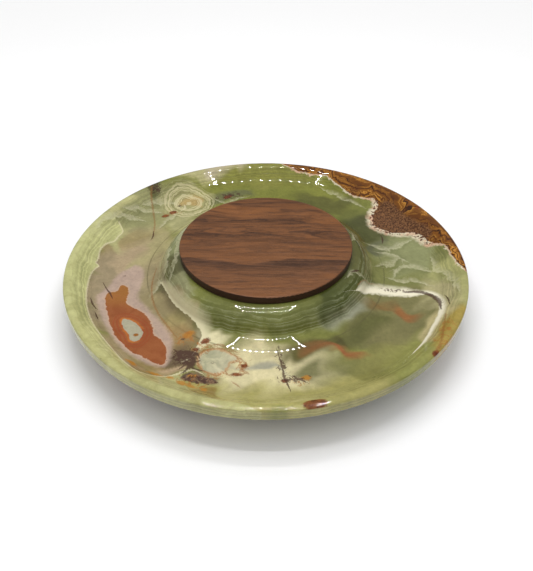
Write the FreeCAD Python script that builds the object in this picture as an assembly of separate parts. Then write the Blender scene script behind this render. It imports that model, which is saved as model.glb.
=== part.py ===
"""A chip and dip server turned from one block of onyx, with a wooden lid over the dip bowl.

The platter is one stone: a round rim, a ring-shaped trough for the chips and a raised bowl for the dip in
the middle of it.  The lid is a thin wooden plate with a smaller disc glued under it, grain crossed, and a
silicone ring in that disc's groove centres it in the bowl.  Four pads under the stone keep it off the table.

Frame: +Z up, origin on the table under the middle of the server.  Millimetres.
"""

import FreeCAD
import Part

import math
import os

Vector = FreeCAD.Vector

# ---- driving dimensions --------------------------------------------------------------------------------

RIM_RADIUS = 152.4  # 12 in across
RIM_HEIGHT = 34.0  # top of the rim above the table
BOSS_RISE = 6.3  # how far the bowl's top stands above the rim
TROUGH_DEPTH = 13.5  # the trough's floor below the rim

# rim
CREST_RADIUS = 149.0  # the circle along which the rim is highest
CREST_INNER_ROUND = 5.0
CREST_OUTER_ROUND = 8.0
CREST_FALL = 15.0  # degrees, from the crest out to the edge
EDGE_ROUND = 1.4
EDGE_BOTTOM = 25.8  # the outer edge is upright down to here
EDGE_LOWER_ROUND = 3.5
WALL_SLOPE = 39.0  # degrees, the trough's outer wall
WALL_SWEEP = 20.0  # radius where that wall runs into the trough's floor

# dip bowl in the middle
BOWL_RADIUS = 55.0
BOWL_DEPTH = 28.0
BOWL_CORNER = 24.0  # radius between the bowl's floor and its wall
BOWL_MOUTH_ROUND = 1.5
SHOULDER_START = 63.5  # the flat land the lid rests on ends here
SHOULDER_ROUND = 18.0
FLANK_SLOPE = 70.0  # degrees
FOOT_SWEEP = 5.5  # radius where the flank turns into the apron
APRON_SLOPE = 24.5  # degrees
APRON_SWEEP = 46.0  # radius where the apron runs out into the trough's floor

# underside
BASE_RADIUS = 116.0
BASE_ROUND = 8.0
BELLY_RADIUS = 139.5
BELLY_HEIGHT = 12.5
BELLY_ROUND = 25.0
RECESS_RADIUS = 78.0
RECESS_DEPTH = 1.5
RECESS_ROUND = 1.2

# lid
LID_RADIUS = 65.7
LID_THICKNESS = 6.2
LID_EDGE_ROUND = 0.8
REGISTER_RADIUS = 52.0
REGISTER_THICKNESS = 5.0
REGISTER_EDGE_ROUND = 0.8
GROOVE_DEPTH = 2.0
GROOVE_HEIGHT = 1.8
GROOVE_DROP = 2.0  # from the register's top to the groove's top
SEAL_CLEARANCE = 0.3  # between the ring's lips and the bowl's wall
SEAL_LIP = 0.6  # thickness of each of the ring's two lips
SEAL_HUB = 0.6  # how far the ring's solid band stands out of the groove

# feet
FOOT_HEIGHT = 2.5
FOOT_RADIUS = 6.35
FOOT_EDGE_ROUND = 1.4
FOOT_CIRCLE = 97.0  # radius of the circle the pads stand on
FOOT_NAMES = ("front_right", "back_right", "back_left", "front_left")

BOSS_TOP = RIM_HEIGHT + BOSS_RISE
TROUGH_FLOOR = RIM_HEIGHT - TROUGH_DEPTH
BOWL_FLOOR = BOSS_TOP - BOWL_DEPTH


# ---- profiles ------------------------------------------------------------------------------------------


def step(start, slope_down, length):
    """The point that lies length away from start, outward and down at that slope in degrees."""
    angle = math.radians(slope_down)
    return start[0] + length * math.cos(angle), start[1] - length * math.sin(angle)


def tan(degrees):
    return math.tan(math.radians(degrees))


def rounded_outline(corners):
    """A closed wire in the XZ half plane through (radius, height, rounding) corners, rounded by arcs."""
    points = [Vector(r, 0, z) for r, z, _ in corners]
    count = len(points)
    edges = []
    last_end = None
    first_start = None
    for i, (_, _, rounding) in enumerate(corners):
        here, before, after = points[i], points[i - 1], points[(i + 1) % count]
        to_before = (before - here).normalize()
        to_after = (after - here).normalize()
        if rounding > 0:
            half = to_before.getAngle(to_after) / 2
            reach = rounding / math.tan(half)
            start = here + to_before * reach
            end = here + to_after * reach
            bisector = (to_before + to_after).normalize()
            middle = here + bisector * (rounding / math.sin(half) - rounding)
        else:
            start = end = here
        if last_end is None:
            first_start = start
        elif (start - last_end).Length > 1e-7:
            edges.append(Part.makeLine(last_end, start))
        if rounding > 0:
            edges.append(Part.Arc(start, middle, end).toShape())
        last_end = end
    edges.append(Part.makeLine(last_end, first_start))
    return Part.Wire(edges)


def turned(corners):
    """The solid of revolution about Z of a closed profile."""
    face = Part.Face(rounded_outline(corners))
    solid = face.revolve(Vector(0, 0, 0), Vector(0, 0, 1), 360)
    return Part.makeSolid(solid.Shells[0]) if solid.ShapeType != "Solid" else solid


def disc_profile(radius, bottom, top, rounding):
    return [
        (0, bottom, 0),
        (radius, bottom, rounding),
        (radius, top, rounding),
        (0, top, 0),
    ]


# ---- pieces --------------------------------------------------------------------------------------------


def boss_corners():
    """Land, flank and apron of the raised bowl, out to where the apron's line meets the trough's floor."""
    shoulder = (SHOULDER_START + SHOULDER_ROUND * tan(FLANK_SLOPE / 2), BOSS_TOP)
    flank = SHOULDER_ROUND * tan(FLANK_SLOPE / 2) + FOOT_SWEEP * tan((FLANK_SLOPE - APRON_SLOPE) / 2)
    flank_foot = step(shoulder, FLANK_SLOPE, flank)
    apron_foot = (flank_foot[0] + (flank_foot[1] - TROUGH_FLOOR) / tan(APRON_SLOPE), TROUGH_FLOOR)
    return [
        (*shoulder, SHOULDER_ROUND),
        (*flank_foot, FOOT_SWEEP),
        (*apron_foot, APRON_SWEEP),
    ]


def rim_corners():
    """The trough's outer wall, the rim's crest and the rim's upright edge."""
    crest_inner = CREST_RADIUS - CREST_INNER_ROUND * tan(WALL_SLOPE / 2)
    crest_outer = CREST_RADIUS + CREST_OUTER_ROUND * tan(CREST_FALL / 2)
    wall_foot = crest_inner - TROUGH_DEPTH / tan(WALL_SLOPE)
    edge_top = RIM_HEIGHT - (RIM_RADIUS - crest_outer) * tan(CREST_FALL)
    return [
        (wall_foot, TROUGH_FLOOR, WALL_SWEEP),
        (crest_inner, RIM_HEIGHT, CREST_INNER_ROUND),
        (crest_outer, RIM_HEIGHT, CREST_OUTER_ROUND),
        (RIM_RADIUS, edge_top, EDGE_ROUND),
        (RIM_RADIUS, EDGE_BOTTOM, EDGE_LOWER_ROUND),
    ]


def platter_profile():
    return [
        (0, BOWL_FLOOR, 0),
        (BOWL_RADIUS, BOWL_FLOOR, BOWL_CORNER),
        (BOWL_RADIUS, BOSS_TOP, BOWL_MOUTH_ROUND),
        *boss_corners(),
        *rim_corners(),
        (BELLY_RADIUS, BELLY_HEIGHT, BELLY_ROUND),
        (BASE_RADIUS, FOOT_HEIGHT, BASE_ROUND),
        (RECESS_RADIUS, FOOT_HEIGHT, RECESS_ROUND),
        (RECESS_RADIUS - RECESS_DEPTH, FOOT_HEIGHT + RECESS_DEPTH, RECESS_ROUND),
        (0, FOOT_HEIGHT + RECESS_DEPTH, 0),
    ]


def make_platter():
    return turned(platter_profile())


def make_lid_plate():
    return turned(disc_profile(LID_RADIUS, BOSS_TOP, BOSS_TOP + LID_THICKNESS, LID_EDGE_ROUND))


def groove_span():
    top = BOSS_TOP - GROOVE_DROP
    return top - GROOVE_HEIGHT, top


def make_lid_register():
    low, high = groove_span()
    floor = REGISTER_RADIUS - GROOVE_DEPTH
    bottom = BOSS_TOP - REGISTER_THICKNESS
    return turned(
        [
            (0, bottom, 0),
            (REGISTER_RADIUS, bottom, REGISTER_EDGE_ROUND),
            (REGISTER_RADIUS, low, 0),
            (floor, low, 0),
            (floor, high, 0),
            (REGISTER_RADIUS, high, 0),
            (REGISTER_RADIUS, BOSS_TOP, 0),
            (0, BOSS_TOP, 0),
        ]
    )


def make_lid_seal():
    """A ring with two thin lips, seated in the register's groove."""
    low, high = groove_span()
    floor = REGISTER_RADIUS - GROOVE_DEPTH
    band = REGISTER_RADIUS + SEAL_HUB
    lip = BOWL_RADIUS - SEAL_CLEARANCE
    tip = SEAL_LIP / 2.2
    return turned(
        [
            (floor, low, 0),
            (lip, low, tip),
            (lip, low + SEAL_LIP, tip),
            (band, low + SEAL_LIP, 0),
            (band, high - SEAL_LIP, 0),
            (lip, high - SEAL_LIP, tip),
            (lip, high, tip),
            (floor, high, 0),
        ]
    )


def make_foot():
    """A stick-on pad: flat where it is glued to the stone, rounded where it meets the table."""
    return turned(
        [
            (0, 0, 0),
            (FOOT_RADIUS, 0, FOOT_EDGE_ROUND),
            (FOOT_RADIUS, FOOT_HEIGHT, 0),
            (0, FOOT_HEIGHT, 0),
        ]
    )


def make_feet():
    """One pad in each quarter, named for where it stands with the front towards -Y."""
    feet = {}
    for i, name in enumerate(FOOT_NAMES):
        angle = math.radians(-45 + 90 * i)
        pad = make_foot()
        pad.translate(Vector(FOOT_CIRCLE * math.cos(angle), FOOT_CIRCLE * math.sin(angle), 0))
        feet["foot_" + name] = pad
    return feet


def main():
    os.makedirs("parts", exist_ok=True)
    pieces = {
        "onyx_platter": make_platter(),
        "lid_plate": make_lid_plate(),
        "lid_register": make_lid_register(),
        "lid_seal": make_lid_seal(),
        **make_feet(),
    }
    for name, shape in pieces.items():
        shape.exportStep(os.path.join("parts", name + ".step"))
        print(f"{name}: valid {shape.isValid()}, closed {shape.isClosed()}, {shape.Volume / 1000:.1f} cm3")


main()
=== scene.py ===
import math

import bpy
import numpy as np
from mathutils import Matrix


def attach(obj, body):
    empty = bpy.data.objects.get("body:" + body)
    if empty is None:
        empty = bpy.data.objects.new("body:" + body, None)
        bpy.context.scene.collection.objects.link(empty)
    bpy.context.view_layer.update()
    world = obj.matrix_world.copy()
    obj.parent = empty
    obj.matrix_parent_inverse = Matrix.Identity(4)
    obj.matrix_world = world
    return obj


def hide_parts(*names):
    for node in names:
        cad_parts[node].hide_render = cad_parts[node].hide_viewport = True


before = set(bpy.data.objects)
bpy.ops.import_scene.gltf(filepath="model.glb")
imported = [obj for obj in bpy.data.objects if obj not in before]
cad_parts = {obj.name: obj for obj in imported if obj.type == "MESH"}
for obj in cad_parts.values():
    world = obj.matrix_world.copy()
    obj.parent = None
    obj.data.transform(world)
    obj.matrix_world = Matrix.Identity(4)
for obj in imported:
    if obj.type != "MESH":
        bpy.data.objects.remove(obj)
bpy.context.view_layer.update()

# The looks of the chip and dip server: a platter turned from figured green onyx, under a walnut lid.
#
# The platter's figure is laid out in plan, in millimetres, with x to the right and y to the back of the
# server.  Its veins run nearly straight down through the stone, so each of them is a curve or an outline
# in plan.  The mesh carries the distance to each curve as an attribute, and the onyx material turns those
# distances, roughened by noise, into minerals.

MM = 0.001

# ---- the platter's profile, in millimetres, as in the CAD ----

RIM_RADIUS = 152.4
RIM_HEIGHT = 34.0
BOSS_TOP = 40.3
TROUGH_FLOOR = 20.5
BOWL_FLOOR = 12.3
CREST_RADIUS = 149.0
CREST_INNER_ROUND = 5.0
CREST_OUTER_ROUND = 8.0
CREST_FALL = 15.0
EDGE_ROUND = 1.4
EDGE_BOTTOM = 25.8
EDGE_LOWER_ROUND = 3.5
WALL_SLOPE = 39.0
WALL_SWEEP = 20.0
BOWL_RADIUS = 55.0
BOWL_CORNER = 24.0
BOWL_MOUTH_ROUND = 1.5
SHOULDER_START = 63.5
SHOULDER_ROUND = 18.0
FLANK_SLOPE = 70.0
FOOT_SWEEP = 5.5
APRON_SLOPE = 24.5
APRON_SWEEP = 46.0
BASE_RADIUS = 116.0
BASE_ROUND = 8.0
BELLY_RADIUS = 139.5
BELLY_HEIGHT = 12.5
BELLY_ROUND = 25.0
RECESS_RADIUS = 78.0
RECESS_DEPTH = 1.5
RECESS_ROUND = 1.2
FOOT_HEIGHT = 2.5

AROUND = 540  # mesh columns around the platter
FINE_STEP = 1.25  # between rings where the figure shows
BOWL_STEP = 3.2
UNDER_STEP = 7.0
BOWL_REACH = BOWL_RADIUS + 2.0  # the bowl and its rounded mouth
FLOOR_SLACK = 1.0  # so that a floor itself counts as being above
ARC_TURN = math.radians(14)  # at most this much turn between two rings of an arc
SAME_POINT = 1e-6  # points closer than this are one
STEP_SLACK = 0.01  # lets steps be very slightly longer rather than adding a ring


def tan(degrees):
    return math.tan(math.radians(degrees))


def platter_corners():
    """(radius, height, rounding) corners from the bowl's middle, over the top and back underneath."""
    shoulder = np.array([SHOULDER_START + SHOULDER_ROUND * tan(FLANK_SLOPE / 2), BOSS_TOP])
    flank = SHOULDER_ROUND * tan(FLANK_SLOPE / 2) + FOOT_SWEEP * tan((FLANK_SLOPE - APRON_SLOPE) / 2)
    slope = math.radians(FLANK_SLOPE)
    flank_foot = shoulder + flank * np.array([math.cos(slope), -math.sin(slope)])
    apron_foot = flank_foot[0] + (flank_foot[1] - TROUGH_FLOOR) / tan(APRON_SLOPE)
    crest_inner = CREST_RADIUS - CREST_INNER_ROUND * tan(WALL_SLOPE / 2)
    crest_outer = CREST_RADIUS + CREST_OUTER_ROUND * tan(CREST_FALL / 2)
    wall_foot = crest_inner - (RIM_HEIGHT - TROUGH_FLOOR) / tan(WALL_SLOPE)
    edge_top = RIM_HEIGHT - (RIM_RADIUS - crest_outer) * tan(CREST_FALL)
    return [
        (0, BOWL_FLOOR, 0),
        (BOWL_RADIUS, BOWL_FLOOR, BOWL_CORNER),
        (BOWL_RADIUS, BOSS_TOP, BOWL_MOUTH_ROUND),
        (*shoulder, SHOULDER_ROUND),
        (*flank_foot, FOOT_SWEEP),
        (apron_foot, TROUGH_FLOOR, APRON_SWEEP),
        (wall_foot, TROUGH_FLOOR, WALL_SWEEP),
        (crest_inner, RIM_HEIGHT, CREST_INNER_ROUND),
        (crest_outer, RIM_HEIGHT, CREST_OUTER_ROUND),
        (RIM_RADIUS, edge_top, EDGE_ROUND),
        (RIM_RADIUS, EDGE_BOTTOM, EDGE_LOWER_ROUND),
        (BELLY_RADIUS, BELLY_HEIGHT, BELLY_ROUND),
        (BASE_RADIUS, FOOT_HEIGHT, BASE_ROUND),
        (RECESS_RADIUS, FOOT_HEIGHT, RECESS_ROUND),
        (RECESS_RADIUS - RECESS_DEPTH, FOOT_HEIGHT + RECESS_DEPTH, RECESS_ROUND),
        (0, FOOT_HEIGHT + RECESS_DEPTH, 0),
    ]


def unit(vector):
    return vector / np.linalg.norm(vector)


def step_at(point):
    """How far apart the rings are around here."""
    radius, height = point
    if radius < BOWL_REACH:
        return BOWL_STEP if height > BOWL_FLOOR - FLOOR_SLACK else UNDER_STEP
    return FINE_STEP if height > TROUGH_FLOOR - FLOOR_SLACK else UNDER_STEP


def arc_points(before, here, after, rounding):
    """Points along the arc that rounds one corner."""
    to_before = unit(before - here)
    to_after = unit(after - here)
    half = math.acos(float(to_before @ to_after)) / 2
    turn = math.pi - 2 * half
    centre = here + unit(to_before + to_after) * rounding / math.sin(half)
    start = here + to_before * rounding / math.tan(half) - centre
    end = here + to_after * rounding / math.tan(half) - centre
    count = math.ceil(max(turn / ARC_TURN, turn * rounding / step_at(here)))
    shares = np.linspace(0, 1, count + 1)
    return [
        centre + (math.sin((1 - t) * turn) * start + math.sin(t * turn) * end) / math.sin(turn)
        for t in shares
    ]


def profile_points():
    """The profile as (radius, height) points, close enough together to carry the figure."""
    corners = platter_corners()
    places = [np.array(corner[:2], float) for corner in corners]
    bends = [places[0]]
    for i in range(1, len(corners) - 1):
        bends += arc_points(places[i - 1], places[i], places[i + 1], corners[i][2])
    bends.append(places[-1])
    points = [bends[0]]
    for there in bends[1:]:
        here = points[-1]
        length = np.linalg.norm(there - here)
        if length < SAME_POINT:
            continue
        count = math.ceil(length / step_at((here + there) / 2) - STEP_SLACK)
        points += [here + (there - here) * (k + 1) / count for k in range(count)]
    return np.array(points)


def make_mesh(name, points, faces):
    """A new mesh object, linked into the scene."""
    mesh = bpy.data.meshes.new(name)
    mesh.from_pydata(points, [], faces)
    mesh.update()
    piece = bpy.data.objects.new(name, mesh)
    bpy.context.scene.collection.objects.link(piece)
    return piece


def lathe(name, profile):
    """A closed mesh of revolution from a profile that starts and ends on the axis."""
    rings = profile[1:-1]
    angles = np.arange(AROUND) * 2 * math.pi / AROUND
    x = rings[:, :1] * np.cos(angles)
    y = rings[:, :1] * np.sin(angles)
    z = np.repeat(rings[:, 1:], AROUND, axis=1)
    body = np.stack([x, y, z], axis=2).reshape(-1, 3)
    poles = [[0, 0, profile[0][1]], [0, 0, profile[-1][1]]]
    points = np.vstack([body, poles]) * MM
    first, last = len(body), len(body) + 1
    column = np.arange(AROUND)
    beside = (column + 1) % AROUND
    faces = []
    for ring in range(len(rings) - 1):
        low, high = ring * AROUND, (ring + 1) * AROUND
        faces += np.stack([low + column, high + column, high + beside, low + beside], axis=1).tolist()
    end = (len(rings) - 1) * AROUND
    faces += [[first, int(a), int(b)] for a, b in zip(column, beside)]
    faces += [[last, int(end + b), int(end + a)] for a, b in zip(column, beside)]
    piece = make_mesh(name, points.tolist(), faces)
    piece.data.polygons.foreach_set("use_smooth", [True] * len(piece.data.polygons))
    piece.data.update()
    return piece


# ---- the figure: curves and outlines in plan, in millimetres ----

# a light rim band with a cream edge against the tan floor on the left
FLAP_EDGE = [
    (-125, 57), (-121.5, 50), (-124, 43), (-126, 36), (-131, 30), (-134, 20), (-133.5, 10), (-134.2, 4),
    (-131.5, 1.8), (-133.5, -4), (-134.5, -14), (-133, -30), (-128.8, -49), (-120.5, -68), (-111, -82),
    (-101, -95), (-92, -107), (-83, -115.5), (-77, -118), (-70, -117), (-62, -113.5), (-55, -110),
]
FLAP = FLAP_EDGE + [
    (-51, -122), (-44, -133), (-30, -142), (-8, -150), (4, -165), (-175, -170), (-180, 80), (-145, 68),
]

# the pink halo, the orange-brown inclusion in it and that one's grey core
HALO = [
    (-109, 2), (-117, -9), (-121, -22), (-126, -32), (-125, -42), (-119, -57), (-110, -73), (-98, -90),
    (-85, -100.5), (-74, -105.5), (-65, -105), (-61.5, -94), (-63, -78), (-70, -65), (-79, -54), (-88, -42),
    (-94, -33), (-93, -20), (-94, -4), (-101, 6),
]
INCLUSION = [
    (-109, -20.5), (-104.5, -23.5), (-102.8, -29), (-103, -38), (-100, -44), (-91, -49.5), (-83.5, -58),
    (-79.5, -67), (-77.5, -74), (-71, -81), (-67, -89), (-66.3, -100), (-69, -103), (-75, -100.5),
    (-84, -94.5), (-90.5, -91.5), (-95, -86), (-103, -77), (-109, -65), (-114, -52), (-118, -40),
    (-119.3, -34), (-117, -29), (-112, -27.5), (-110.8, -23),
]
CORE = [
    (-102, -59), (-95, -60.5), (-88, -67), (-85, -74), (-87.5, -80.5), (-92.5, -80), (-95, -74),
    (-100, -67),
]

# golden-brown agate over the rim at the back right, with a lobe of fine brown figure
AGATE = [
    (14, 152), (27, 142.5), (42, 136.5), (57, 132), (63, 126), (71, 118), (81, 107), (90, 102), (98, 97),
    (101, 89), (96.5, 83), (95, 75), (93.5, 65), (96, 59), (102, 54), (110, 50.5), (120, 50), (126, 46),
    (131, 38), (135, 28), (140, 22), (143.5, 16), (145.5, 0), (148, -14), (158, -24), (180, 20), (150, 120),
    (60, 190), (10, 175),
]
LOBE = [
    (104, 90), (92, 76), (90, 60), (104, 49), (124, 45), (134, 33), (137, 42), (128, 58), (119, 72),
    (112, 86),
]

# a purple-brown lens and a grey-green patch at the front left
LENS = [(-55, -115), (-50, -110), (-42, -112.5), (-34, -115), (-31, -119), (-40, -119.5), (-49, -118)]
PATCH = [
    (-45, -95), (-40, -89.5), (-31, -89), (-22, -94), (-16, -98.5), (-23, -102), (-26, -109), (-32, -112.5),
    (-40, -109.5), (-44.5, -103),
]

# the white vein at the right: its sharp edge, and how far it reaches outwards from there
WHITE_VEIN = [
    (66, -42, 1.0), (72, -38.5, 5), (80, -35, 9), (90, -34, 12), (101, -34.5, 12.5), (110, -34, 10),
    (117, -32, 6), (122, -31, 4), (125, -36, 4), (125.5, -46, 4.6), (122, -57, 4.4), (114, -71, 3.6),
    (106, -85, 2.6), (96, -98, 0.8),
]
# the ridge of cream that leans against the boss at the left
RIDGE = [
    (-78, -26, 3), (-73, -36, 5), (-68, -46, 7), (-61, -55, 8), (-54, -62, 8), (-48, -69, 9),
    (-44, -77, 10), (-46, -85, 8),
]

# veils: pale clouds with one sharp edge, (x, y, how far the cloud reaches to the left of the edge)
VEILS = [
    [(84, 30, 2), (92, 26, 5), (101, 24, 7), (108, 27, 6), (114, 34, 4), (121, 38, 2)],
    [(112, 12, 2), (106, 19, 5), (98, 22, 4), (90, 21, 1)],
    [(88, -1, 2), (95, 2, 6), (102, 6, 6), (106, 12, 3)],
    [(101, -9, 2), (106, -2, 6), (113, 1, 7), (121, -1, 5), (128, -5, 2)],
    [(132, 12, 1), (131, 0, 4), (134, -12, 5), (138, -26, 4), (139, -42, 1)],
    [(96, -14, 2), (104, -17, 5), (113, -16, 5), (122, -20, 2)],
    [(-108, 86, 2), (-100, 90, 5), (-92, 94, 6), (-83, 95, 3)],
    [(-122, 74, 2), (-112, 77, 6), (-103, 81, 5), (-95, 82, 2)],
    [(-90, 60, 2), (-84, 70, 4), (-80, 78, 3), (-84, 84, 1)],
    [(-140, 40, 1), (-136, 50, 5), (-128, 60, 6), (-118, 66, 5), (-106, 68, 1)],
    [(-84, -34, 2), (-76, -22, 5), (-73, -6, 6), (-75, 12, 5), (-72, 28, 3)],
    [(-70, -32, 1), (-66, -14, 4), (-66, 4, 5), (-66, 22, 4), (-62, 36, 1)],
    [(52, 122, 1), (64, 110, 4), (76, 100, 4), (88, 91, 1)],
    [(-48, 106, 1), (-38, 98, 4), (-30, 101, 5), (-20, 108, 2)],
    [(60, -34, 1), (65, -30.5, 4), (72, -28, 2)],
    [(68, 12, 1), (70.5, 16, 3), (70, 22, 1)],
]

# strokes: lists of (x, y, half width)
DARK_STROKES = [
    [
        (104, -29, 0.5), (112, -28, 1.6), (119, -29.5, 2.0), (124, -34, 2.1), (126.5, -42, 1.7),
        (125.5, -52, 0.5),
    ],
    [
        (7.5, -91, 0.3), (9.5, -99, 0.5), (11, -107, 0.6), (11.6, -113, 1.0), (13.5, -119, 0.8),
        (15.5, -125, 0.3),
    ],
    [(12, -116.5, 0.7), (18, -115.4, 0.7), (22, -116, 0.9), (26, -118.5, 0.3)],
    [(-96, 52, 0.3), (-95.3, 46, 0.7), (-96, 41, 0.3)],
    [(-61, -89.5, 0.6), (-57, -94, 1.3), (-54, -98, 0.9), (-50, -102, 1.2), (-45, -100, 0.5)],
    [(-56, -106.5, 0.4), (-51, -102, 0.9), (-47.5, -106, 0.9), (-41, -108.5, 0.4)],
    [(-60, -93, 0.5), (-53, -91, 1.4), (-46, -93, 1.0), (-44, -97, 0.4)],
    [(-55, -96.5, 0.8), (-50, -95, 1.2), (-47, -99, 0.6)],
    [(-52, -99, 0.5), (-50.5, -105, 1.1), (-53.5, -110, 0.5)],
    [(-124, -18, 0.3), (-120, -25, 0.5), (-116.5, -30, 0.8), (-114, -35, 0.4)],
    [(-128, -40, 0.4), (-126, -45, 0.8), (-122.5, -49.5, 0.4)],
    [(-121.5, -55, 0.4), (-119, -60.5, 0.7)],
    [(131.6, -39, 0.3), (131.8, -45, 0.5), (131, -51, 0.3)],
    [(97.5, 47, 0.3), (98, 41, 0.8), (97, 35, 0.3)],
    [(69, -24, 0.3), (66, -26, 1.1), (62.5, -28.5, 0.3)],
]
RUST_STROKES = [
    [(-103.8, 112, 0.7), (-103.5, 97, 1.0), (-100, 81, 0.9), (-96.5, 64, 0.8), (-95.3, 43, 0.4)],
    [(-85, -5, 0.4), (-86, -20, 0.7), (-84, -36, 0.8), (-78, -52, 0.8), (-70, -65, 0.8), (-61, -78, 0.4)],
    [(-45, -95, 0.6), (-42, -90.5, 0.9), (-31, -88.8, 0.7), (-22, -94, 0.5), (-16, -98.5, 0.9)],
    [(-41, -83, 0.8), (-38, -86, 0.9), (-30, -86, 0.6), (-24, -90, 0.8), (-18, -93, 0.4)],
    [(-21, -101, 0.8), (-15.5, -99.5, 0.6), (-13, -103, 1.1), (-16, -106, 0.6), (-12, -110, 0.9)],
    [(-12, -110, 0.5), (-17, -112, 1.1), (-24, -112, 0.9), (-26, -109, 0.5)],
    [(-45, -99, 0.5), (-43, -106, 0.9), (-36, -111, 0.6), (-30, -112.5, 0.7)],
    [(-20.5, -118.5, 0.8), (-17, -121.5, 0.6)],
    [(-84, -77, 0.5), (-82, -82, 0.6), (-83.5, -86, 0.6), (-86.2, -82, 0.5)],
    [(67, -37, 0.3), (73, -29, 0.5), (82, -24, 0.4), (92, -25.5, 0.5), (101, -27, 0.6), (108, -25, 0.3)],
    [(126, -62, 0.6), (119, -82, 1.0), (113, -98, 1.0), (108, -106, 1.4)],
]
PALE_STROKES = [
    [(x, y, 0.7) for x, y in FLAP_EDGE],
    [(-74, 95, 0.8), (-73, 90, 1.3), (-76, 86, 0.6)],
    [(-61, -113.5, 0.6), (-54, -109.5, 1.4), (-47, -107.5, 0.9), (-41, -111, 0.4)],
    [(-54, -99.5, 0.8), (-51.5, -98, 0.7)],
]

# spots: (x, y, half length, half width, turn in degrees)
RUST_SPOTS = [
    (29, -146.8, 7.6, 3.6, 10), (-83, 83, 3.6, 2.6, 30), (-89, 77, 3.4, 2.2, 20), (-35.5, 110, 4.5, 2.8, 40),
    (-41, -82.5, 3.4, 2.2, 20), (-47, -89, 2.4, 1.8, 0), (108.5, -105.5, 3.0, 2.0, 50),
    (-14, -104, 2.2, 1.6, 0), (-19, -111.5, 3.4, 1.5, 0), (131, 70, 2.4, 1.6, 60),
    (12, -117, 2.2, 1.6, 0),
]
OCHRE_SPOTS = [
    (-53.5, -76, 4.0, 2.6, 30), (-53, -120.5, 3.4, 2.2, -30), (-46.5, -123.5, 3.2, 1.8, -20),
    (-39, -126, 2.6, 1.6, -10), (-61, -115.5, 2.6, 1.5, 0), (25.5, -114.5, 2.8, 2.0, 0),
    (-87, -106, 5.0, 2.0, -40), (-71, -114, 5.0, 1.8, -15), (-89.7, -74.8, 2.0, 1.5, 0),
    (-47, -113, 2.6, 1.6, 0),
]
DARK_SPOTS = [
    (-57.5, -92.5, 3.0, 2.2, 60), (-49.5, -93, 3.6, 2.2, 20), (-48.5, -103, 3.0, 1.8, 80),
    (-78, 94, 1.7, 1.2, 0), (-109, -9, 1.2, 0.8, 0), (-56.5, -79.5, 1.3, 1.0, 0), (-35, -101.5, 1.4, 1.0, 0),
]

# zones where dark or rusty minerals branch through the stone, as
# (x, y, half length, half width, turn in degrees, softness)
DARK_ZONES = [
    (-53, -97, 11, 10, 0, 0.9), (-44, -116, 13, 5, -8, 0.9), (17, -116, 11, 4, 0, 1.2),
    (11, -104, 4, 14, 8, 1.4), (-101, 106, 8, 9, 0, 1.0), (-34, 112, 14, 7, 10, 1.2),
    (96, -27, 12, 3, 0, 1.2),
]
RUST_ZONES = [
    (-43, -88, 9, 7, -20, 1.0), (-16, -105, 7, 9, 0, 1.0), (-50, -119, 16, 6, -20, 1.0),
    (20, -117, 10, 5, 0, 1.2), (128, 60, 8, 16, 40, 1.2), (119, -86, 8, 24, -28, 1.0),
    (-55, -78, 9, 8, 0, 1.0), (-84, 82, 9, 6, 20, 1.0), (-30, -112, 12, 4, 0, 1.2),
]

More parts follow.
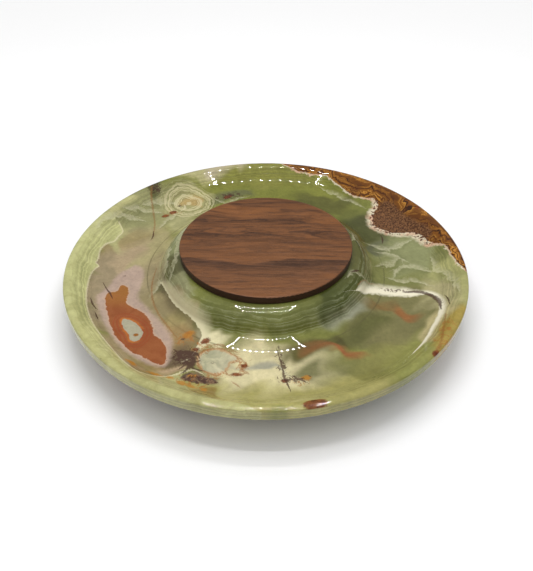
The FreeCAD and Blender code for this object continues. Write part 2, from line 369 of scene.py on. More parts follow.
# the ground colours, laid one over another, as
# (x, y, half length, half width, turn in degrees, softness, colour in 0 to 255)
OLIVE = (118, 124, 62)
GROUND = [
    (0, 118, 100, 34, 0, 0.5, (121, 126, 56)),
    (0, 148, 130, 18, 0, 0.6, (130, 132, 64)),
    (50, 98, 30, 15, -20, 0.8, (92, 94, 46)),
    (-34, 111, 20, 9, 12, 0.8, (104, 108, 68)),
    (112, 5, 46, 70, 0, 0.5, (118, 122, 72)),
    (84, 52, 24, 26, 20, 0.8, (78, 82, 46)),
    (116, 22, 24, 28, 0, 0.7, (134, 140, 98)),
    (98, -62, 42, 34, 20, 0.5, (116, 114, 74)),
    (30, -104, 44, 24, 10, 0.6, (122, 126, 66)),
    (62, -112, 44, 18, 30, 0.6, (126, 126, 72)),
    (20, -96, 15, 8, 0, 1.2, (90, 94, 50)),
    (38, -108, 22, 8, 14, 1.2, (112, 114, 66)),
    (0, -138, 90, 22, 0, 0.6, (160, 157, 98)),
    (112, -98, 36, 22, 42, 0.6, (140, 144, 82)),
    (122, -84, 30, 7, 60, 0.7, (158, 142, 72)),
    (144, -34, 16, 44, 8, 0.6, (160, 162, 108)),
    (0, -107, 38, 19, 0, 0.9, (206, 200, 160)),
    (-38, -80, 14, 10, -30, 0.7, (212, 208, 170)),
    (0, -104, 17, 2.2, -4, 1.6, (156, 157, 138)),
    (-118, 30, 26, 44, 0, 0.5, (150, 138, 96)),
    (-104, 8, 26, 28, 0, 0.7, (170, 154, 124)),
    (-124, -30, 14, 50, 8, 0.6, (150, 138, 110)),
    (-98, -92, 34, 12, -48, 0.7, (148, 134, 100)),
    (-112, 62, 26, 16, 20, 0.6, (152, 146, 108)),
    (-100, 84, 42, 22, 40, 0.5, (144, 146, 102)),
    (-70, 66, 14, 16, 0, 0.8, (166, 166, 120)),
    (-72, 98, 24, 18, 30, 0.6, (156, 156, 108)),
    (-67, 98, 6, 11, 0, 0.7, (172, 152, 98)),
    (-101, 106, 7, 7, 0, 0.8, (88, 92, 52)),
    (-140, 66, 10, 44, 30, 0.6, (168, 170, 120)),
    (-88, 22, 14, 36, 0, 0.8, (164, 158, 116)),
    (-60, 137, 26, 9, 25, 0.8, (170, 168, 122)),
    (-77, -22, 9, 18, 0, 0.7, (108, 106, 78)),
    (-90, -22, 14, 30, 0, 0.7, (148, 138, 106)),
    (-78, -48, 18, 24, -30, 0.7, (144, 134, 98)),
    (-58, -72, 12, 16, 30, 0.7, (158, 146, 100)),
    (-66, -88, 16, 22, 0, 0.7, (150, 130, 88)),
    (52, -58, 22, 9, 32, 0.7, (146, 150, 128)),
    (24, -91, 17, 6, 16, 1.4, (90, 88, 46)),
    (48, -84, 14, 7, 34, 1.4, (78, 76, 40)),
    (-54, -97, 9, 9, 0, 1.2, (104, 90, 66)),
    (-45, -116, 12, 5, -8, 1.2, (112, 98, 72)),
    (70, -68, 16, 8, 44, 1.4, (92, 94, 52)),
    (46, -92, 17, 4, -8, 1.4, (136, 86, 50)),
    (101, -50, 10, 8, 0, 1.1, (136, 94, 54)),
    (84, -45, 12, 5, 10, 1.3, (118, 98, 58)),
    (128, -34, 12, 20, 10, 0.8, (172, 168, 126)),
    (31, -107, 9, 6, 0, 1.0, (120, 120, 82)),
    (-130, 76, 11, 12, 0, 0.9, (182, 182, 130)),
    (-77, -22, 8, 14, 0, 0.9, (102, 97, 66)),
    (-62, -108, 5, 4, 0, 1.0, (172, 152, 122)),
    (-38, 144, 15, 7, 12, 1.0, (184, 178, 148)),
    (-35, -132, 14, 4, -14, 1.2, (138, 120, 68)),
    (92, 26, 8, 6, 0, 1.0, (100, 104, 78)),
    (119, -67, 6, 20, -30, 0.9, (176, 168, 124)),
]
# the raised ring's colours: partly its own ground, partly painted shade, with the darkest greens on its
# steep flank where less light falls
BOSS_TONES_AND_FLANK_SHADE = [
    (-62, 14, 26, 46, 0, 0.5, (140, 146, 104)),
    (-70, -18, 14, 13, 0, 0.8, (94, 94, 62)),
    (-62, -40, 13, 10, -40, 0.8, (142, 144, 106)),
    (0, -66, 46, 24, 0, 0.5, (108, 114, 60)),
    (56, -42, 34, 34, 0, 0.5, (74, 82, 38)),
    (70, 10, 24, 44, 0, 0.5, (92, 94, 54)),
    (0, 70, 80, 26, 0, 0.5, (104, 110, 56)),
]
BOSS_TONE_AND_SHADE_RADIUS = 84.0  # the raised ring's own ground colours and its painted flank shade end here
BOSS_TONE_AND_SHADE_FADE = 8.0
RING_CENTRE = (-70, 98)

# the waves that make soft patches irregular: (direction in radians, wave length, push)
WAVES = [(0.3, 47, 3.4), (1.5, 33, 2.8), (2.6, 23, 2.2), (0.9, 15, 1.5), (2.0, 9, 0.9)]
WAVE_OFFSET = 5.0  # puts waves of different directions out of step
WAVE_LAG = 1.1  # between a wave's push along x and along y

# below the trough's floor the figure draws in and leans as it runs down: per millimetre of depth
DRAW_IN = 0.004
LEAN = (0.5, 0.3)

UNTOUCHED = 1e6  # a distance to start from when looking for the nearest line
FAR = 30.0  # millimetres past which a distance no longer matters
STROKE_FAR = 20.0
WIDTHS_FAR = 8.0  # the same, in a stroke's or a ribbon's own widths
THINNEST_RIBBON = 0.3
THINNEST_STROKE = 0.2


def smooth_line(points, per=6, closed=False):
    """A Catmull-Rom curve through given points, with their further values carried along."""
    given = np.array(points, float)
    if closed:
        padded = np.vstack([given[-1:], given, given[:2]])
    else:
        padded = np.vstack([2 * given[:1] - given[1:2], given, 2 * given[-1:] - given[-2:-1]])
    shares = np.arange(per)[:, None] / per
    spans = []
    for before, start, end, after in zip(padded, padded[1:], padded[2:], padded[3:]):
        bend = 2 * before - 5 * start + 4 * end - after
        twist = 3 * (start - end) + after - before
        spans.append(start + shares * (end - before + shares * (bend + shares * twist)) / 2)
    if not closed:
        spans.append(given[-1:])
    return np.vstack(spans)


def nearest(plan, line, closed=False):
    """For each plan point: how far the line is, the side (+1 left), and the line's third value there."""
    ends = np.roll(line, -1, axis=0) if closed else line[1:]
    starts = line if closed else line[:-1]
    far = np.full(len(plan), UNTOUCHED)
    side = np.ones(len(plan))
    third = np.zeros(len(plan))
    for start, end in zip(starts, ends):
        along = end[:2] - start[:2]
        off = plan - start[:2]
        share = np.clip(off @ along / max(along @ along, 1e-9), 0, 1)
        gap = off - share[:, None] * along
        distance = np.hypot(gap[:, 0], gap[:, 1])
        closer = distance < far
        far[closer] = distance[closer]
        side[closer] = np.where(along[0] * off[closer, 1] - along[1] * off[closer, 0] > 0, 1, -1)
        if len(start) > 2:
            third[closer] = start[2] + share[closer] * (end[2] - start[2])
    return far, side, third


def inside(plan, outline):
    """Which plan points lie inside a closed outline."""
    x, y = plan.T
    crossings = np.zeros(len(plan), int)
    for start, end in zip(outline, np.roll(outline, -1, axis=0)):
        spans = (start[1] > y) != (end[1] > y)
        slope = (end[0] - start[0]) / (end[1] - start[1]) if end[1] != start[1] else 0
        crossings += spans & (x < start[0] + (y - start[1]) * slope)
    return crossings % 2 == 1


def region(plan, outline):
    """Distance to a closed outline, below zero inside it."""
    line = smooth_line(outline, closed=True)
    far, _, _ = nearest(plan, line, closed=True)
    return np.where(inside(plan, line), -far, far)


def ribbon(plan, line):
    """0 at a ribbon's sharp edge, 1 at its far edge on the left, below zero to its right."""
    far, side, width = nearest(plan, smooth_line(line))
    return np.clip(far * side / np.maximum(width, THINNEST_RIBBON), -WIDTHS_FAR, WIDTHS_FAR)


def strokes(plan, lines):
    """The nearest stroke's signed distance in half widths, and its plain distance."""
    best = np.full(len(plan), UNTOUCHED)
    across = np.full(len(plan), WIDTHS_FAR)
    for line in lines:
        far, side, width = nearest(plan, smooth_line(line, per=4))
        closer = far < best
        best[closer] = far[closer]
        across[closer] = (far * side / np.maximum(width, THINNEST_STROKE))[closer]
    return np.clip(across, -WIDTHS_FAR, WIDTHS_FAR), np.minimum(best, STROKE_FAR)


def spot_distance(plan, x, y, half_length, half_width, turn):
    """How far out of a spot a point lies, where 1 is its outline."""
    angle = math.radians(turn)
    off = plan - (x, y)
    along = off @ (math.cos(angle), math.sin(angle)) / half_length
    across = off @ (-math.sin(angle), math.cos(angle)) / half_width
    return np.hypot(along, across)


def spots(plan, listed):
    """The distance to the nearest spot's outline in millimetres, roughly, below zero inside it."""
    best = np.full(len(plan), STROKE_FAR)
    for x, y, half_length, half_width, turn in listed:
        out = (spot_distance(plan, x, y, half_length, half_width, turn) - 1) * half_width
        best = np.minimum(best, out)
    return best


def linear(colour):
    """Linear red, green and blue of a colour given in 0 to 255."""
    share = np.array(colour, float) / 255
    return np.where(share <= 0.04045, share / 12.92, ((share + 0.055) / 1.055) ** 2.4)


def patch_share(plan, x, y, half_length, half_width, turn, softness):
    """1 well inside a soft patch, 0 well outside it."""
    out = spot_distance(plan, x, y, half_length, half_width, turn)
    return np.clip((1 + softness / 2 - out) / softness, 0, 1)


def lay(colours, plan, patches, where=1.0):
    """Lays soft patches of colour one over another."""
    for *patch, colour in patches:
        share = patch_share(plan, *patch)
        share = (share * share * (3 - 2 * share) * where)[:, None]
        colours += share * (linear(colour) - colours)
    return colours


def wavy(plan):
    """Plan points pushed about by crossing waves, so that soft patches get irregular outlines."""
    moved = plan.copy()
    for turn, length, push in WAVES:
        direction = np.array([math.cos(turn), math.sin(turn)])
        phase = moved @ direction * 2 * math.pi / length + WAVE_OFFSET * turn
        moved = moved + push * np.stack([np.sin(phase + WAVE_LAG), np.cos(phase)], axis=1)
    return moved


def zones(plan, listed):
    """How strongly a mineral branches through each point, 0 to 1."""
    share = np.zeros(len(plan))
    for zone in listed:
        share = np.maximum(share, patch_share(plan, *zone))
    return share


def ground(plan):
    """The stone's soft ground colour at each point, with painted shade in the raised ring's steep flank."""
    plan = wavy(plan)
    colours = np.tile(linear(OLIVE), (len(plan), 1))
    lay(colours, plan, GROUND)
    radius = np.hypot(*plan.T)
    on_boss = np.clip((BOSS_TONE_AND_SHADE_RADIUS - radius) / BOSS_TONE_AND_SHADE_FADE, 0, 1)
    return lay(colours, plan, BOSS_TONES_AND_FLANK_SHADE, on_boss)


def add_figure(piece):
    """Writes the figure's distances and its ground colour, which holds painted flank shade, onto the
    platter's points.
    """
    mesh = piece.data
    points = np.empty(len(mesh.vertices) * 3)
    mesh.vertices.foreach_get("co", points)
    points = points.reshape(-1, 3) / MM
    drop = np.maximum(TROUGH_FLOOR - points[:, 2:], 0)
    plan = points[:, :2] * (1 - DRAW_IN * drop) + drop * LEAN
    fields = {
        "flap": region(plan, FLAP),
        "halo": region(plan, HALO),
        "inclusion": region(plan, INCLUSION),
        "core": region(plan, CORE),
        "agate": region(plan, AGATE),
        "lobe": region(plan, LOBE),
        "lens": region(plan, LENS),
        "patch": region(plan, PATCH),
        "white_vein": ribbon(plan, WHITE_VEIN),
        "ridge": ribbon(plan, RIDGE),
        "rust_spots": spots(plan, RUST_SPOTS),
        "ochre_spots": spots(plan, OCHRE_SPOTS),
        "dark_spots": spots(plan, DARK_SPOTS),
        "rings": np.hypot(*(plan - RING_CENTRE).T),
        "dark_zone": zones(plan, DARK_ZONES),
        "rust_zone": zones(plan, RUST_ZONES),
    }
    for name, line in (("white_vein_far", WHITE_VEIN), ("ridge_far", RIDGE)):
        far, _, _ = nearest(plan, smooth_line(line))
        fields[name] = np.minimum(far, FAR)
    drawn = {"dark": DARK_STROKES, "rust": RUST_STROKES, "pale": PALE_STROKES, "veil": VEILS}
    for kind, lines in drawn.items():
        fields[kind + "_across"], fields[kind + "_far"] = strokes(plan, lines)
    for name, values in fields.items():
        layer = mesh.attributes.new(name, "FLOAT", "POINT")
        layer.data.foreach_set("value", values.astype(np.float32))
    colours = np.ones((len(plan), 4), np.float32)
    colours[:, :3] = ground(plan)
    layer = mesh.attributes.new("ground", "FLOAT_COLOR", "POINT")
    layer.data.foreach_set("color", colours.ravel())


# ---- materials ----

PER_METRE = 1000.0  # millimetres
VEIN_STRETCH = 0.6  # noise in the stone is drawn out downwards by this
FOOT_SHADE_LINE_RADIUS = 92.0
STROKE_REACH = 2.4  # no stroke is drawn further than this from its line, in millimetres
STROKE_FULL = 0.7 * STROKE_REACH  # and from here on it fades
TWIG_EDGE = 0.08  # how much the noise rises from a twig's edge to its middle
TONE = (0.80, 0.76, 0.72)  # brings the stone's colours to how they look in this studio's light
ONYX_IOR = 1.5
WOOD_IOR = 1.45
WOOD_RELIEF = 0.12 * MM
RUBBER_IOR = 1.43
RUBBER_RELIEF = 0.03 * MM
PAPER_IOR = 1.1
WHITE = (1.0, 1.0, 1.0, 1.0)
# the paper's colour near the server, darkened as painted shade
PAPER_SHADED_NEAR = (0.78, 0.78, 0.79, 1.0)
PAPER_FAR = (0.97, 0.97, 0.97, 1.0)


class Graph:
    """The nodes of a material or a world, and short calls to add to them."""

    def __init__(self, owner):
        self.owner = owner
        owner.use_nodes = True
        self.tree = owner.node_tree
        self.tree.nodes.clear()

    def put(self, socket, value):
        """Links a socket to the value, or sets it when the value is a plain one."""
        if isinstance(value, bpy.types.NodeSocket):
            self.tree.links.new(value, socket)
        else:
            socket.default_value = value

    def node(self, kind, inputs=None, **settings):
        node = self.tree.nodes.new(kind)
        for name, value in settings.items():
            setattr(node, name, value)
        for key, value in (inputs or {}).items():
            self.put(node.inputs[key], value)
        return node

    def math(self, operation, first, second=0.0, third=0.0):
        inputs = {0: first, 1: second, 2: third}
        return self.node("ShaderNodeMath", inputs, operation=operation).outputs[0]

    def times(self, first, *others):
        """The product of all the values."""
        for other in others:
            first = self.math("MULTIPLY", first, other)
        return first

    def add_times(self, base, value, factor):
        """The base plus the value times the factor."""
        return self.math("MULTIPLY_ADD", value, factor, base)

    def mix(self, share, first, second):
        """The first colour, or the second where the share is 1."""
        node = self.node("ShaderNodeMix", data_type="RGBA", blend_type="MIX")
        for socket, value in ((node.inputs[0], share), (node.inputs[6], first), (node.inputs[7], second)):
            self.put(socket, value)
        return node.outputs[2]

    def ramp(self, value, low, high, start=0.0, end=1.0):
        """start where the value is below low, end where it is above high, smooth between."""
        inputs = {"Value": value, "From Min": low, "From Max": high, "To Min": start, "To Max": end}
        return self.node("ShaderNodeMapRange", inputs, interpolation_type="SMOOTHSTEP").outputs[0]

    def fade(self, value, low, high, start=1.0):
        """start where the value is below low, 0 where it is above high."""
        return self.ramp(value, low, high, start, 0.0)

    def noise(self, place, scale, detail, roughness, distortion=0.0):
        """Cloudy noise around 0.5."""
        inputs = {"Vector": place, "Scale": scale, "Detail": detail, "Roughness": roughness}
        inputs["Distortion"] = distortion
        return self.node("ShaderNodeTexNoise", inputs, noise_dimensions="3D").outputs[0]

    def layers(self, value, scale, detail, roughness):
        """Noise along one value: layers where it is a depth, rings where it is a distance."""
        inputs = {"W": value, "Scale": scale, "Detail": detail, "Roughness": roughness}
        return self.node("ShaderNodeTexNoise", inputs, noise_dimensions="1D").outputs[0]

    def field(self, name):
        """One of the distances that the mesh carries."""
        return self.node("ShaderNodeAttribute", attribute_name=name).outputs["Fac"]

    def place(self, scale):
        """Object coordinates, stretched."""
        coordinates = self.node("ShaderNodeTexCoord").outputs["Object"]
        return self.node("ShaderNodeVectorMath", {0: coordinates, 1: scale}, operation="MULTIPLY").outputs[0]

    def axis(self, vector, number):
        """One part of a vector: 0 for x, 1 for y, 2 for z."""
        return self.node("ShaderNodeSeparateXYZ", {0: vector}).outputs[number]

    def length(self, vector):
        return self.node("ShaderNodeVectorMath", {0: vector}, operation="LENGTH").outputs["Value"]

    def facing_up(self, normal):
        """1 where the surface faces up, 0 where it is vertical, -1 where it faces down."""
        return self.axis(self.node("ShaderNodeNewGeometry").outputs[normal], 2)

    def shine(self, colour, roughness, ior, height=None, relief=0.0):
        """Ends the material in one Principled shader."""
        inputs = {"Base Color": colour, "Roughness": roughness, "IOR": ior}
        shader = self.node("ShaderNodeBsdfPrincipled", inputs)
        if height is not None:
            bump = self.node("ShaderNodeBump", {"Height": height, "Strength": 1.0, "Distance": relief})
            self.put(shader.inputs["Normal"], bump.outputs[0])
        self.node("ShaderNodeOutputMaterial", {0: shader.outputs[0]})
        return self.owner


def new_graph(name):
    return Graph(bpy.data.materials.new(name))


def tint(*colour):
    """A colour given in 0 to 255, for a colour socket."""
    return (*linear(colour), 1.0)


class Onyx(Graph):
    """The stone's material.  Each lay_ method lays one mineral over the colour so far; one of them lays a
    line of painted shade instead.
    """

    def __init__(self, name):
        super().__init__(bpy.data.materials.new(name))
        self.veined = self.place((PER_METRE, PER_METRE, VEIN_STRETCH * PER_METRE))
        flat = self.place((PER_METRE, PER_METRE, 0))
        millimetres = self.place((PER_METRE, PER_METRE, PER_METRE))
        self.backward = self.axis(millimetres, 1)
        self.radius = self.length(flat)
        self.up = self.facing_up("Normal")
        self.slope = self.ramp(self.up, 0.7, 0.98, 1.0, 0.1)

        # noises that several minerals share, from the widest to the finest
        self.broad = self.noise(flat, 0.028, 3, 0.55, 0.6)
        self.middle = self.noise(self.veined, 0.09, 4, 0.6, 0.8)
        self.fine = self.noise(self.veined, 0.42, 5, 0.65, 0.5)
        self.grain = self.noise(self.veined, 1.6, 3, 0.6)
        self.wobble = self.math("SUBTRACT", self.noise(self.veined, 0.3, 3, 0.6), 0.5)
        self.jitter = self.math("SUBTRACT", self.noise(self.veined, 0.9, 3, 0.7), 0.5)

        # layers of the stone, cut by its slopes into fine bands
        depth = self.add_times(self.axis(millimetres, 2), self.broad, 7.0)
        depth = self.add_times(depth, self.middle, 2.0)
        self.bands = self.layers(depth, 0.8, 4, 0.68)
        self.hair = self.layers(self.add_times(depth, self.fine, 0.8), 2.4, 2, 0.5)
        self.colour = self.node("ShaderNodeAttribute", attribute_name="ground").outputs["Color"]

    def coat(self, share, colour, strength=1.0):
        """Lays a colour over the stone's, as strongly as the share says."""
        if strength < 1.0:
            share = self.times(share, strength)
        self.colour = self.mix(share, self.colour, colour)

    def roughened(self, name, slow, quick):
        """A distance with its outline made irregular, by slow and by quick waves."""
        value = self.add_times(self.field(name), self.wobble, slow)
        return self.add_times(value, self.jitter, quick)

    def within(self, value, soft=0.5):
        """1 inside an outline, 0 outside it."""
        return self.fade(value, -soft, soft)

    def drawn(self, kind, rough, soft):
        """Where the strokes of one kind are."""
        across = self.add_times(self.field(kind + "_across"), self.jitter, rough)
        width = self.fade(self.math("ABSOLUTE", across), soft, 1.3)
        return self.times(width, self.fade(self.field(kind + "_far"), STROKE_FULL, STROKE_REACH))

    def branching(self, zone, strength, scale, roughness, distortion, low):
        """Where a mineral branches through its zones."""
        crinkled = self.noise(self.veined, scale, 7, roughness, distortion)
        twigs = self.add_times(crinkled, self.field(zone), strength)
        return self.ramp(twigs, low, low + TWIG_EDGE)

    def lay_rim_band(self):
        """The light band of the rim on the left."""
        share = self.within(self.roughened("flap", 1.5, 0.6), 0.4)
        share = self.times(share, self.fade(self.backward, 50, 78))
        band = self.mix(self.ramp(self.backward, -130, -20), tint(166, 166, 112), tint(182, 186, 130))
        band = self.mix(self.ramp(self.middle, 0.3, 0.7, 0.0, 0.4), band, tint(192, 194, 146))
        self.coat(share, band)

    def lay_halo(self):
        """The pink halo around the inclusion."""
        self.coat(self.fade(self.roughened("halo", 4, 1), -4, 1.0), tint(178, 158, 146), 0.9)

    def lay_mottling(self):
        """Lighter and darker clouds and bands in all that is laid so far, and fine milky layers."""
        light = self.math("MULTIPLY_ADD", self.ramp(self.bands, 0.3, 0.7, -0.24, 0.24), self.slope, 1.0)
        light = self.times(
            light,
            self.ramp(self.broad, 0.25, 0.75, 0.90, 1.10),
            self.ramp(self.middle, 0.2, 0.8, 0.88, 1.12),
            self.ramp(self.fine, 0.2, 0.8, 0.90, 1.10),
        )
        inputs = {0: self.colour, "Scale": light}
        self.colour = self.node("ShaderNodeVectorMath", inputs, operation="SCALE").outputs[0]
        milky = self.times(self.ramp(self.hair, 0.52, 0.8), self.ramp(self.middle, 0.4, 0.7), self.slope)
        self.coat(milky, tint(196, 198, 156), 0.34)

    def lay_folded_layers(self):
        """Folded grey layers in the raised ring's flank."""
        share = self.times(
            self.fade(self.radius, 76, 92),
            self.fade(self.up, 0.75, 0.96),
            self.ramp(self.bands, 0.48, 0.6),
            self.ramp(self.middle, 0.4, 0.6, 0.12, 0.4),
        )
        self.coat(share, tint(164, 172, 146))

    def lay_veils(self):
        """Pale veils with one sharp edge, and the shade along it."""
        across = self.add_times(self.field("veil_across"), self.math("SUBTRACT", self.middle, 0.5), 2.6)
        across = self.add_times(across, self.wobble, 0.5)
        far = self.field("veil_far")
        cloud = self.times(
            self.ramp(across, -0.1, 0.2),
            self.fade(across, 0.1, 1.6),
            self.fade(far, 4, 9, 0.62),
            self.ramp(self.fine, 0.3, 0.65, 0.35, 1.0),
        )
        self.coat(cloud, tint(196, 196, 166))
        shade = self.times(self.fade(across, -0.12, 0.02), self.ramp(across, -1.1, -0.1))
        self.coat(self.times(shade, self.fade(far, 4, 7, 0.22)), tint(84, 92, 56))

    def lay_milky_rings(self):
        """Rings of milky layers at the back left, with darker ones between."""
        distance = self.field("rings")
        place = self.add_times(self.add_times(distance, self.wobble, 0.3), self.middle, 8.0)
        layers = self.layers(place, 0.3, 2, 0.7)
        pale = self.times(self.fade(distance, 14, 30, 0.85), self.ramp(layers, 0.45, 0.62))
        self.coat(pale, tint(214, 208, 168))
        dark = self.times(self.fade(distance, 14, 30, 0.6), self.fade(layers, 0.32, 0.42))
        self.coat(dark, tint(124, 116, 78))

    def lay_foot_shade_line(self):
        """A thin dark line of painted shade that circles the raised ring's foot, where its apron runs into
        the trough floor.
        """
        # painted shade: a dark circle at a fixed radius around the raised ring, broken up by noise
        radius = self.add_times(self.radius, self.wobble, 1.2)
        off_line = self.math("ABSOLUTE", self.math("SUBTRACT", radius, FOOT_SHADE_LINE_RADIUS))
        share = self.times(self.fade(off_line, 0.25, 0.75), self.ramp(self.broad, 0.4, 0.6, 0.1, 0.5))
        self.coat(share, tint(84, 80, 52))

    def lay_ridge(self):
        """The cream ridge, and the shade on its trough side."""
        across = self.add_times(self.field("ridge"), self.wobble, 0.3)
        near = self.fade(self.field("ridge_far"), 8, 13)
        cream = self.times(self.ramp(across, -0.04, 0.04), self.fade(across, 0.1, 1.1), near)
        self.coat(cream, tint(222, 218, 184), 0.85)
        shade = self.times(self.fade(across, -0.04, 0.04), self.ramp(across, -0.9, -0.1), near)
        self.coat(shade, tint(92, 82, 58), 0.6)

    def lay_grey_patch(self):
        """The grey-green patch and its rusty rim."""
        edge = self.roughened("patch", 5, 2)
        body = self.mix(self.ramp(self.middle, 0.35, 0.65), tint(150, 154, 134), tint(200, 198, 172))
        self.coat(self.within(edge, 0.8), body, 0.7)
        rim = self.times(self.within(edge, 1.2), self.ramp(edge, -2.2, -0.4))
        self.coat(rim, tint(188, 138, 84), 0.7)

    def lay_lens(self):
        """The purple-brown lens."""
        body = self.mix(self.ramp(self.fine, 0.4, 0.6), tint(84, 66, 58), tint(128, 100, 78))
        self.coat(self.within(self.roughened("lens", 2, 2), 0.6), body, 0.9)

    def lay_ochre_spots(self):
        self.coat(self.within(self.roughened("ochre_spots", 3, 2.4), 0.9), tint(176, 122, 40), 0.85)

    def lay_rust_twigs(self):
        self.coat(self.branching("rust_zone", 0.20, 0.27, 0.75, 0.9, 0.68), tint(160, 104, 48), 0.7)

    def lay_thin_veins(self):
        self.coat(self.drawn("pale", 3.2, 0.1), tint(222, 216, 184), 0.6)
        self.coat(self.drawn("rust", 4.5, 0.3), tint(140, 92, 48), 0.55)

    def lay_inclusion(self):
        """The orange-brown inclusion in the halo."""
        edge = self.roughened("inclusion", 3, 1.2)
        brown = self.mix(self.ramp(self.backward, -50, -34), tint(140, 80, 42), tint(152, 104, 46))
        brown = self.mix(self.ramp(self.middle, 0.35, 0.65, 0.0, 0.4), brown, tint(164, 106, 62))
        brown = self.mix(self.ramp(self.grain, 0.35, 0.7, 0.0, 0.35), brown, tint(124, 62, 32))
        self.coat(self.fade(edge, 0.2, 1.6, 0.5), tint(198, 168, 140))
        self.coat(self.within(edge, 0.35), brown)

    def lay_core(self):
        """The inclusion's grey core, the rings around it and the ochre spot in it."""
        edge = self.roughened("core", 2, 0.8)
        waves = self.math("SINE", self.times(edge, 2.4))
        ringed = self.times(self.fade(edge, 5.5, 7.0), self.ramp(waves, -0.3, 0.8))
        self.coat(ringed, tint(148, 62, 32), 0.5)
        golden = self.times(self.fade(edge, 0.8, 2.2, 0.7), self.ramp(self.middle, 0.35, 0.6))
        self.coat(golden, tint(190, 116, 46))
        core = self.within(edge, 0.4)
        self.coat(core, self.mix(self.fine, tint(140, 138, 116), tint(186, 184, 162)))
        self.coat(self.times(self.within(self.field("ochre_spots")), core), tint(140, 88, 30))

    def lay_white_vein(self):
        across = self.add_times(self.field("white_vein"), self.wobble, 0.5)
        near = self.fade(self.field("white_vein_far"), 11, 15)
        share = self.times(self.ramp(across, -0.1, 0.25), self.fade(across, 0.45, 1.3), near)
        self.coat(share, tint(238, 236, 214), 0.96)

    def golden_bands(self):
        """The colour of the agate's folded bands."""
        fold = self.add_times(self.field("agate"), self.broad, 26.0)
        gold = self.layers(self.add_times(fold, self.middle, 13.0), 0.42, 3, 0.6)
        colour = self.mix(self.ramp(gold, 0.38, 0.5), tint(54, 28, 8), tint(132, 82, 22))
        colour = self.mix(self.ramp(gold, 0.54, 0.62), colour, tint(196, 142, 58))
        shaded = self.ramp(self.noise(self.veined, 0.05, 3, 0.6), 0.45, 0.6, 0.0, 0.6)
        return self.mix(shaded, colour, tint(84, 44, 16))

    def lay_agate(self):
        """Folded golden bands, and a lobe of fine brown figure behind a cream border and a fringe."""
        from_lobe = self.field("lobe")
        speckle = self.noise(self.veined, 0.8, 4, 0.75)
        brown = self.mix(self.ramp(speckle, 0.42, 0.6), tint(62, 36, 20), tint(134, 94, 58))
        body = self.mix(self.within(self.roughened("lobe", 4, 2), 2.0), self.golden_bands(), brown)
        border_width = self.ramp(from_lobe, 4, 14, 6.0, 1.3)
        outside = self.math("DIVIDE", self.roughened("agate", 6.0, 4.0), border_width)
        border = self.mix(self.ramp(self.middle, 0.4, 0.6), tint(222, 216, 190), tint(214, 178, 150))
        self.coat(self.fade(outside, 0.4, 1.3), border, 0.95)
        self.coat(self.within(self.roughened("agate", 3.2, 2.2), 0.35), body)
        fringe = self.times(
            self.fade(outside, 0.35, 0.75),
            self.ramp(self.noise(self.veined, 0.5, 1, 0.5), 0.5, 0.56),
            self.fade(from_lobe, 4, 14),
            self.ramp(self.field("agate"), -1, 0),
        )
        self.coat(fringe, tint(84, 46, 26))

    def lay_rust_spots(self):
        """Rust-red spots, which don't run down over the rim's steep edge."""
        share = self.within(self.roughened("rust_spots", 1.6, 1.4), 0.6)
        share = self.times(share, self.ramp(self.up, 0.05, 0.35, 0.0, 0.92))
        self.coat(share, self.mix(self.ramp(self.fine, 0.4, 0.6), tint(92, 38, 18), tint(128, 68, 32)))

    def lay_dark_minerals(self):
        """Dark strokes, spots and twigs."""
        spots_share = self.within(self.roughened("dark_spots", 3, 3), 0.7)
        share = self.math("MAXIMUM", self.drawn("dark", 2.6, 0.5), spots_share)
        share = self.math("MAXIMUM", share, self.branching("dark_zone", 0.22, 0.34, 0.72, 0.6, 0.67))
        self.coat(share, tint(70, 46, 38), 0.84)


def onyx_material():
    """Polished green onyx, its minerals laid one over another, with a line of painted shade around the
    raised ring's foot.
    """
    stone = Onyx("green_onyx")
    stone.lay_rim_band()
    stone.lay_halo()
    stone.lay_mottling()
    stone.lay_folded_layers()
    stone.lay_veils()
    stone.lay_milky_rings()
    stone.lay_foot_shade_line()
    stone.lay_ridge()
    stone.lay_grey_patch()
    stone.lay_lens()
    stone.lay_ochre_spots()
    stone.lay_rust_twigs()
    stone.lay_thin_veins()
    stone.lay_inclusion()
    stone.lay_core()
    stone.lay_white_vein()
    stone.lay_agate()
    stone.lay_rust_spots()
    stone.lay_dark_minerals()
    toned = stone.node("ShaderNodeVectorMath", {0: stone.colour, 1: TONE}, operation="MULTIPLY").outputs[0]
    return stone.shine(toned, stone.ramp(stone.grain, 0.3, 0.7, 0.02, 0.035), ONYX_IOR)


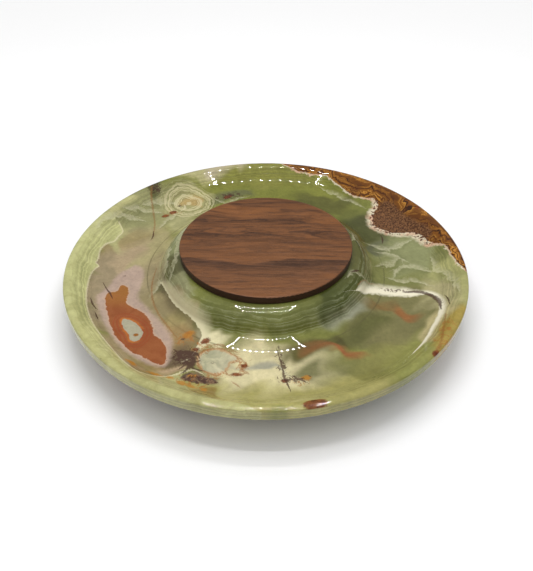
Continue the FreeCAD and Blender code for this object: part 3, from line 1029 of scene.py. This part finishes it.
def wood_material(name, pale, dark, turned=False):
    """Oiled walnut, its grain along X, or along Y when turned, with painted shade on its sides."""
    g = new_graph(name)

    def drawn_out(along, across):
        """Object coordinates in which a pattern is drawn out along the grain."""
        return g.place((across, along, across) if turned else (along, across, across))

    wide = g.noise(drawn_out(8, 30), 1.0, 4, 0.55, 0.6)
    sideways = g.axis(g.place((PER_METRE, PER_METRE, PER_METRE)), 0 if turned else 1)
    growth = g.layers(g.add_times(sideways, wide, 52.0), 0.1, 4, 0.6)
    streaks = g.noise(drawn_out(14, 260), 1.0, 5, 0.65, 0.4)
    fibres = g.noise(drawn_out(70, 1300), 1.0, 3, 0.6)
    pits = g.ramp(g.noise(drawn_out(126, 2340), 1.0, 2, 0.5), 0.60, 0.70)
    # painted shade: faces turned away from straight up, the sides of the lid and the register, are made
    # almost black, laid over the end grain's own darker red
    side = g.fade(g.facing_up("True Normal"), 0.35, 0.8, 0.9)
    colour = g.mix(g.ramp(growth, 0.3, 0.64, 0.12, 1.0), dark, pale)
    colour = g.mix(g.ramp(streaks, 0.46, 0.72, 0.0, 0.6), colour, dark)
    colour = g.mix(g.ramp(wide, 0.52, 0.66, 0.0, 0.5), colour, tint(128, 78, 34))
    colour = g.mix(g.ramp(fibres, 0.42, 0.7, 0.0, 0.30), colour, tint(138, 90, 54))
    colour = g.mix(g.times(pits, 0.5), colour, tint(58, 32, 20))
    # lays the painted side shade over the wood
    colour = g.mix(side, colour, tint(36, 13, 7))
    roughness = g.ramp(fibres, 0.3, 0.7, 0.42, 0.56)
    return g.shine(colour, roughness, WOOD_IOR, g.add_times(fibres, pits, -0.6), WOOD_RELIEF)


def rubber_material(name, pale, dark, roughness):
    """Moulded rubber with a faint cloudiness and a fine moulded texture."""
    g = new_graph(name)
    cloud = g.noise(g.place((90, 90, 90)), 1.0, 3, 0.5)
    tooth = g.noise(g.place((1500, 1500, 1500)), 1.0, 2, 0.5)
    colour = g.mix(g.ramp(cloud, 0.3, 0.7), dark, pale)
    rough = g.ramp(tooth, 0.3, 0.7, roughness - 0.05, roughness + 0.06)
    return g.shine(colour, rough, RUBBER_IOR, tooth, RUBBER_RELIEF)


def floor_material():
    """Pale paper, with painted shade: a little greyer where the server stands."""
    g = new_graph("studio_floor")
    distance = g.length(g.place((1, 1, 0)))
    # painted shade on the paper around the server
    colour = g.mix(g.ramp(distance, 0.15, 0.5), PAPER_SHADED_NEAR, PAPER_FAR)
    return g.shine(colour, 0.9, PAPER_IOR)


def light_material(name, strength):
    """Plain white light."""
    g = new_graph(name)
    glow = g.node("ShaderNodeEmission", {"Color": WHITE, "Strength": strength})
    g.node("ShaderNodeOutputMaterial", {0: glow.outputs[0]})
    return g.owner


def dress(piece, material):
    """Gives a piece its one material."""
    piece.data.materials.clear()
    piece.data.materials.append(material)


# ---- the studio, in metres; the lens and its sensor in millimetres ----

CAMERA_DISTANCE = 3.18 * RIM_RADIUS * MM
CAMERA_TILT = math.radians(36.2)  # how far above the horizon the camera stands
CAMERA_LENS = 39.47
SENSOR = 36.0
CAMERA_SHIFT = (0.0012, -0.0532)
FLOOR_REACH = 30.0
LED_HEIGHT = 0.534
LED_FRONT = -0.110
LED_BACK = 0.060
LED_HALF_LENGTH = 0.128
LED_COUNT = 14
LED_ROW_RADIUS = 0.0028
LED_SIDE_COUNT = 20
LED_SIDE_RADIUS = 0.0014
LED_FACETS = 10
LED_GLOW = 560.0
TENT_LOW = 0.1  # how far up a direction points where the tent starts to brighten, 1 being straight up
TENT_HIGH = 0.9
TENT_SIDE = 0.22
TENT_ROOF = 1.25
TENT_MIRRORED = 0.3


def make_floor():
    reach = FLOOR_REACH
    corners = [(-reach, -reach, 0), (reach, -reach, 0), (reach, reach, 0), (-reach, reach, 0)]
    floor = make_mesh("studio_floor", corners, [(0, 1, 2, 3)])
    dress(floor, floor_material())


def led_places():
    """Where the little round lamps of the overhead frame are, as (x, y, radius)."""
    places = []
    for i in range(LED_COUNT):
        x = LED_HALF_LENGTH * (2 * i / (LED_COUNT - 1) - 1)
        places += [(x, LED_FRONT, LED_ROW_RADIUS), (x, LED_BACK, LED_ROW_RADIUS)]
    for i in range(LED_SIDE_COUNT):
        y = LED_FRONT + (LED_BACK - LED_FRONT) * (i + 0.5) / LED_SIDE_COUNT
        places += [(-LED_HALF_LENGTH, y, LED_SIDE_RADIUS), (LED_HALF_LENGTH, y, LED_SIDE_RADIUS)]
    return places


def make_led_frame():
    """A rectangular frame of small round lamps above the server, facing down."""
    points = []
    faces = []
    for x, y, radius in led_places():
        first = len(points)
        for k in range(LED_FACETS):
            angle = 2 * math.pi * k / LED_FACETS
            points.append((x + radius * math.cos(angle), y + radius * math.sin(angle), LED_HEIGHT))
        faces.append(tuple(range(first + LED_FACETS - 1, first - 1, -1)))
    lamps = make_mesh("led_frame", points, faces)
    dress(lamps, light_material("led_glow", LED_GLOW))
    lamps.visible_camera = False


def make_world():
    """A white tent: bright overhead, dimmer towards the horizon, plain white where it is seen directly.

    Polished surfaces mirror it faintly, as the tent's cloth is much darker than the lamps that light it.
    """
    world = bpy.data.worlds.new("tent")
    g = Graph(world)
    rise = g.axis(g.node("ShaderNodeTexCoord").outputs["Generated"], 2)
    cloth = g.ramp(rise, TENT_LOW, TENT_HIGH, TENT_SIDE, TENT_ROOF)
    ray = g.node("ShaderNodeLightPath").outputs
    seen = g.node("ShaderNodeMix", {"Factor": ray["Is Camera Ray"], "A": cloth, "B": 1.0}).outputs[0]
    mirrored = g.math("MULTIPLY_ADD", ray["Is Glossy Ray"], TENT_MIRRORED - 1.0, 1.0)
    background = g.node("ShaderNodeBackground", {"Color": WHITE, "Strength": g.times(seen, mirrored)})
    g.node("ShaderNodeOutputWorld", {0: background.outputs[0]})
    bpy.context.scene.world = world


def make_camera():
    data = bpy.data.cameras.new("camera")
    data.lens = CAMERA_LENS
    data.sensor_width = SENSOR
    data.shift_x, data.shift_y = CAMERA_SHIFT
    camera = bpy.data.objects.new("camera", data)
    away = CAMERA_DISTANCE * math.cos(CAMERA_TILT)
    up = CAMERA_DISTANCE * math.sin(CAMERA_TILT) + RIM_HEIGHT * MM
    camera.location = (0.0, -away, up)
    camera.rotation_euler = (math.pi / 2 - CAMERA_TILT, 0.0, 0.0)
    bpy.context.scene.collection.objects.link(camera)
    bpy.context.scene.camera = camera


# ---- putting it together ----


def make_platter():
    platter = lathe("figured_onyx", profile_points())
    add_figure(platter)
    dress(platter, onyx_material())
    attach(platter, "platter")
    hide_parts("onyx_platter")


def dress_cad_pieces():
    """The lid, its register and seal, and the pads keep the meshes that they have in the CAD."""
    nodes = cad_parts
    dress(nodes["lid_plate"], wood_material("lid_wood", tint(108, 66, 31), tint(46, 25, 11)))
    register_wood = wood_material("register_wood", tint(122, 78, 42), tint(72, 42, 21), turned=True)
    dress(nodes["lid_register"], register_wood)
    dress(nodes["lid_seal"], rubber_material("silicone", tint(222, 220, 214), tint(206, 204, 196), 0.4))
    pad = rubber_material("pad", tint(206, 206, 202), tint(186, 186, 182), 0.5)
    for name, node in nodes.items():
        if name.startswith("foot_"):
            dress(node, pad)


bpy.context.scene.view_settings.view_transform = "Standard"
make_platter()
dress_cad_pieces()
make_floor()
make_led_frame()
make_world()
make_camera()
